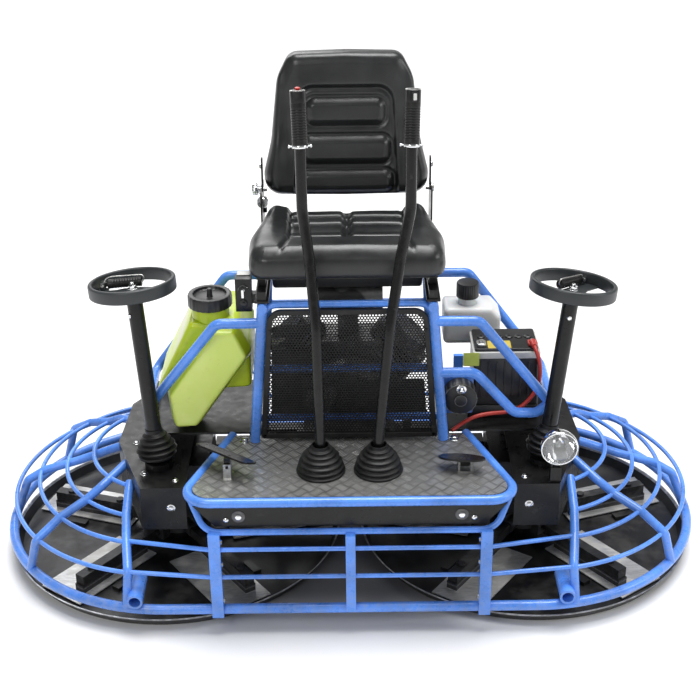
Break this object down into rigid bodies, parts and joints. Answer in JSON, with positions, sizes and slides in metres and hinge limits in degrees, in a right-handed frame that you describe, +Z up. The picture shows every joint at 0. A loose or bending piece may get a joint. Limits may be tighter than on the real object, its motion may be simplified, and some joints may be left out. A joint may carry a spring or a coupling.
{
  "type": "ride-on power trowel",
  "caption": "Ride-on concrete trowel: twin bladed rotors with float pans under a tube guard, pitch handwheels, control sticks, pedals, tanks and a sliding seat with tilting back.",
  "frame": {"origin": "on the floor below the middle of the machine", "axes": "+X from the left rotor to the right rotor as seen from the front, -Y the way the seated operator faces, +Z up"},
  "size_m": [1.9768, 1.012, 1.38],
  "materials": {
    "blue_paint": "gloss blue paint",
    "black_paint": "satin black paint",
    "grey_steel": "worn bare steel",
    "tread_plate": "raised-tread plate",
    "dark_mesh": "dark grey paint",
    "engine_metal": "cast, dusty",
    "vinyl": "semi-gloss black vinyl over foam",
    "rubber": "black rubber",
    "wheel_plastic": "dark grey plastic",
    "tank_yellow": "translucent yellow-green",
    "tank_white": "milky white",
    "cap_black": "black plastic",
    "battery_case": "black plastic",
    "red_cable": "red insulation",
    "chrome": "polished",
    "button_red": "red plastic"
  },
  "bodies": {
    "chassis": {"main_beam": "black_paint", "gearboxes": "black_paint", "gearbox_covers": "black_paint", "guard_left": "blue_paint", "guard_right": "blue_paint", "guard_centre": "blue_paint", "deck_frame": "blue_paint", "deck_plate": "tread_plate", "front_skirt": "black_paint", "seat_frame": "blue_paint", "mesh_guard": "dark_mesh", "engine": "engine_metal", "muffler": "grey_steel", "water_tank": "tank_yellow", "fuel_tank": "tank_white", "battery": "battery_case", "battery_cable": "red_cable", "switch_box": "black_paint", "pitch_columns": "black_paint", "column_boots": "rubber", "seat_rails": "black_paint", "frame_bolts": "chrome", "stick_boots": "rubber", "control_brackets": "chrome", "drive_belt": "rubber"},
    "cross_shaft_body": {"cross_shaft": "grey_steel"},
    "left_rotor": {"left_spider": "black_paint", "left_pan": "black_paint"},
    "right_rotor": {"right_spider": "black_paint", "right_pan": "black_paint"},
    "left_handwheel_body": {"left_handwheel": "wheel_plastic"},
    "left_grip_body": {"left_crank_grip": "wheel_plastic"},
    "left_blade_1_body": {"left_blade_1": "grey_steel"},
    "left_blade_2_body": {"left_blade_2": "grey_steel"},
    "left_blade_3_body": {"left_blade_3": "grey_steel"},
    "left_blade_4_body": {"left_blade_4": "grey_steel"},
    "left_blade_5_body": {"left_blade_5": "grey_steel"},
    "left_collar_body": {"left_thrust_collar": "grey_steel"},
    "right_handwheel_body": {"right_handwheel": "wheel_plastic"},
    "right_grip_body": {"right_crank_grip": "wheel_plastic"},
    "right_blade_1_body": {"right_blade_1": "grey_steel"},
    "right_blade_2_body": {"right_blade_2": "grey_steel"},
    "right_blade_3_body": {"right_blade_3": "grey_steel"},
    "right_blade_4_body": {"right_blade_4": "grey_steel"},
    "right_blade_5_body": {"right_blade_5": "grey_steel"},
    "right_collar_body": {"right_thrust_collar": "grey_steel"},
    "left_stick_body": {"left_stick": "black_paint"},
    "spray_button_body": {"spray_button": "button_red"},
    "right_gimbal_body": {"right_gimbal": "grey_steel"},
    "right_stick_body": {"right_stick": "black_paint"},
    "throttle_pedal_body": {"throttle_pedal": "black_paint"},
    "kill_pedal_body": {"kill_pedal": "black_paint"},
    "seat": {"seat_pan": "black_paint", "seat_cushion": "vinyl"},
    "backrest_body": {"backrest": "vinyl"},
    "recline_knob_body": {"recline_knob": "chrome"},
    "water_cap_body": {"water_cap": "cap_black"},
    "fuel_cap_body": {"fuel_cap": "cap_black"},
    "lamp_body": {"lamp_head": "chrome"},
    "key_body": {"ignition_key": "chrome"}
  },
  "joints": [
    {"name": "left_rotor_spin", "type": "hinge", "parent": "chassis", "child": "left_rotor", "pos_m": [-0.505, 0, 0], "axis": [0, 0, 1], "continuous": true},
    {"name": "right_rotor_spin", "type": "hinge", "parent": "chassis", "child": "right_rotor", "pos_m": [0.505, 0, 0], "axis": [0, 0, 1], "continuous": true},
    {"name": "cross_shaft_spin", "type": "hinge", "parent": "chassis", "child": "cross_shaft_body", "pos_m": [0, 0.062, 0.19], "axis": [1, 0, 0], "continuous": true},
    {"name": "left_wheel_turn", "type": "hinge", "parent": "chassis", "child": "left_handwheel_body", "pos_m": [-0.562, -0.125, 0.843], "axis": [-0.0792, 0.1116, 0.9906], "range_deg": [0, 900]},
    {"name": "left_crank_fold", "type": "hinge", "parent": "left_handwheel_body", "child": "left_grip_body", "pos_m": [-0.64386, -0.09774, 0.8349], "axis": [0, -0.9937, 0.112], "range_deg": [0, 90]},
    {"name": "left_blade_1_pitch", "type": "hinge", "parent": "left_rotor", "child": "left_blade_1_body", "pos_m": [-0.505, 0, 0.048], "axis": [-0.5736, 0.8192, 0], "range_deg": [0, 5.01]},
    {"name": "left_blade_2_pitch", "type": "hinge", "parent": "left_rotor", "child": "left_blade_2_body", "pos_m": [-0.505, 0, 0.048], "axis": [0.6018, 0.7986, 0], "range_deg": [0, 5.01]},
    {"name": "left_blade_3_pitch", "type": "hinge", "parent": "left_rotor", "child": "left_blade_3_body", "pos_m": [-0.505, 0, 0.048], "axis": [0.9455, -0.3256, 0], "range_deg": [0, 5.01]},
    {"name": "left_blade_4_pitch", "type": "hinge", "parent": "left_rotor", "child": "left_blade_4_body", "pos_m": [-0.505, 0, 0.048], "axis": [-0.0175, -0.9998, 0], "range_deg": [0, 5.01]},
    {"name": "left_blade_5_pitch", "type": "hinge", "parent": "left_rotor", "child": "left_blade_5_body", "pos_m": [-0.505, 0, 0.048], "axis": [-0.9563, -0.2924, 0], "range_deg": [0, 5.01]},
    {"name": "left_collar_slide", "type": "slide", "parent": "chassis", "child": "left_collar_body", "axis": [0, 0, 1], "range_m": [-0.00281, 0]},
    {"name": "right_wheel_turn", "type": "hinge", "parent": "chassis", "child": "right_handwheel_body", "pos_m": [0.591, -0.125, 0.825], "axis": [0.1217, 0.1154, 0.9858], "range_deg": [0, 900]},
    {"name": "right_crank_fold", "type": "hinge", "parent": "right_handwheel_body", "child": "right_grip_body", "pos_m": [0.6236, -0.04558, 0.8132], "axis": [-0.7491, 0.6623, 0.0149], "range_deg": [0, 90]},
    {"name": "right_blade_1_pitch", "type": "hinge", "parent": "right_rotor", "child": "right_blade_1_body", "pos_m": [0.505, 0, 0.048], "axis": [-0.5736, -0.8192, 0], "range_deg": [0, 5.01]},
    {"name": "right_blade_2_pitch", "type": "hinge", "parent": "right_rotor", "child": "right_blade_2_body", "pos_m": [0.505, 0, 0.048], "axis": [0.6018, -0.7986, 0], "range_deg": [0, 5.01]},
    {"name": "right_blade_3_pitch", "type": "hinge", "parent": "right_rotor", "child": "right_blade_3_body", "pos_m": [0.505, 0, 0.048], "axis": [0.9455, 0.3256, 0], "range_deg": [0, 5.01]},
    {"name": "right_blade_4_pitch", "type": "hinge", "parent": "right_rotor", "child": "right_blade_4_body", "pos_m": [0.505, 0, 0.048], "axis": [-0.0175, 0.9998, 0], "range_deg": [0, 5.01]},
    {"name": "right_blade_5_pitch", "type": "hinge", "parent": "right_rotor", "child": "right_blade_5_body", "pos_m": [0.505, 0, 0.048], "axis": [-0.9563, 0.2924, 0], "range_deg": [0, 5.01]},
    {"name": "right_collar_slide", "type": "slide", "parent": "chassis", "child": "right_collar_body", "axis": [0, 0, 1], "range_m": [-0.00281, 0]},
    {"name": "left_stick_swing", "type": "hinge", "parent": "chassis", "child": "left_stick_body", "pos_m": [-0.075, -0.34, 0.424], "axis": [1, 0, 0], "range_deg": [-4, 10], "stiffness_Nm_per_rad": 450, "deforming": ["stick_boots"]},
    {"name": "spray_button_press", "type": "slide", "parent": "left_stick_body", "child": "spray_button_body", "axis": [0, 0, -1], "range_m": [0, 0.004], "stiffness_N_per_m": 500},
    {"name": "right_gimbal_tilt", "type": "hinge", "parent": "chassis", "child": "right_gimbal_body", "pos_m": [0.075, -0.34, 0.424], "axis": [0, 1, 0], "range_deg": [-8, 8], "stiffness_Nm_per_rad": 450, "deforming": ["stick_boots"]},
    {"name": "right_stick_swing", "type": "hinge", "parent": "right_gimbal_body", "child": "right_stick_body", "pos_m": [0.075, -0.34, 0.424], "axis": [1, 0, 0], "range_deg": [-4, 10], "stiffness_Nm_per_rad": 450, "deforming": ["stick_boots"]},
    {"name": "throttle_press", "type": "hinge", "parent": "chassis", "child": "throttle_pedal_body", "pos_m": [-0.316, -0.367, 0.444], "axis": [0, 1, 0], "range_deg": [0, 14], "stiffness_Nm_per_rad": 12},
    {"name": "kill_pedal_press", "type": "hinge", "parent": "chassis", "child": "kill_pedal_body", "pos_m": [0.301, -0.346, 0.424], "axis": [1, 0, 0], "range_deg": [0, 10], "stiffness_Nm_per_rad": 12},
    {"name": "seat_slide", "type": "slide", "parent": "chassis", "child": "seat", "axis": [0, 1, 0], "range_m": [0, 0.08]},
    {"name": "backrest_tilt", "type": "hinge", "parent": "seat", "child": "backrest_body", "pos_m": [0, 0.205, 0.985], "axis": [1, 0, 0], "range_deg": [-25, 10]},
    {"name": "recline_knob_turn", "type": "hinge", "parent": "seat", "child": "recline_knob_body", "pos_m": [-0.25, 0.205, 0.985], "axis": [-1, 0, 0], "range_deg": [0, 180]},
    {"name": "water_cap_lift", "type": "slide", "parent": "chassis", "child": "water_cap_body", "axis": [0, 0, 1], "range_m": [0, 0.06]},
    {"name": "fuel_cap_lift", "type": "slide", "parent": "chassis", "child": "fuel_cap_body", "axis": [0, 0, 1], "range_m": [0, 0.06]},
    {"name": "lamp_tilt", "type": "hinge", "parent": "chassis", "child": "lamp_body", "pos_m": [0.549, -0.281, 0.392], "axis": [1, 0, 0], "range_deg": [-25, 25]},
    {"name": "key_turn", "type": "hinge", "parent": "chassis", "child": "key_body", "pos_m": [-0.271, -0.15, 0.838], "axis": [0, -1, 0], "range_deg": [0, 90]}
  ],
  "couplings": [
    {"joint": "right_rotor_spin", "follows": "left_rotor_spin", "ratio": -1},
    {"joint": "cross_shaft_spin", "follows": "left_rotor_spin", "ratio": 10},
    {"joint": "left_blade_1_pitch", "follows": "left_wheel_turn", "ratio": 0.0055556},
    {"joint": "left_blade_2_pitch", "follows": "left_wheel_turn", "ratio": 0.0055556},
    {"joint": "left_blade_3_pitch", "follows": "left_wheel_turn", "ratio": 0.0055556},
    {"joint": "left_blade_4_pitch", "follows": "left_wheel_turn", "ratio": 0.0055556},
    {"joint": "left_blade_5_pitch", "follows": "left_wheel_turn", "ratio": 0.0055556},
    {"joint": "left_collar_slide", "follows": "left_wheel_turn", "m_per_rad": -0.00017825},
    {"joint": "right_blade_1_pitch", "follows": "right_wheel_turn", "ratio": 0.0055556},
    {"joint": "right_blade_2_pitch", "follows": "right_wheel_turn", "ratio": 0.0055556},
    {"joint": "right_blade_3_pitch", "follows": "right_wheel_turn", "ratio": 0.0055556},
    {"joint": "right_blade_4_pitch", "follows": "right_wheel_turn", "ratio": 0.0055556},
    {"joint": "right_blade_5_pitch", "follows": "right_wheel_turn", "ratio": 0.0055556},
    {"joint": "right_collar_slide", "follows": "right_wheel_turn", "m_per_rad": -0.00017825}
  ]
}
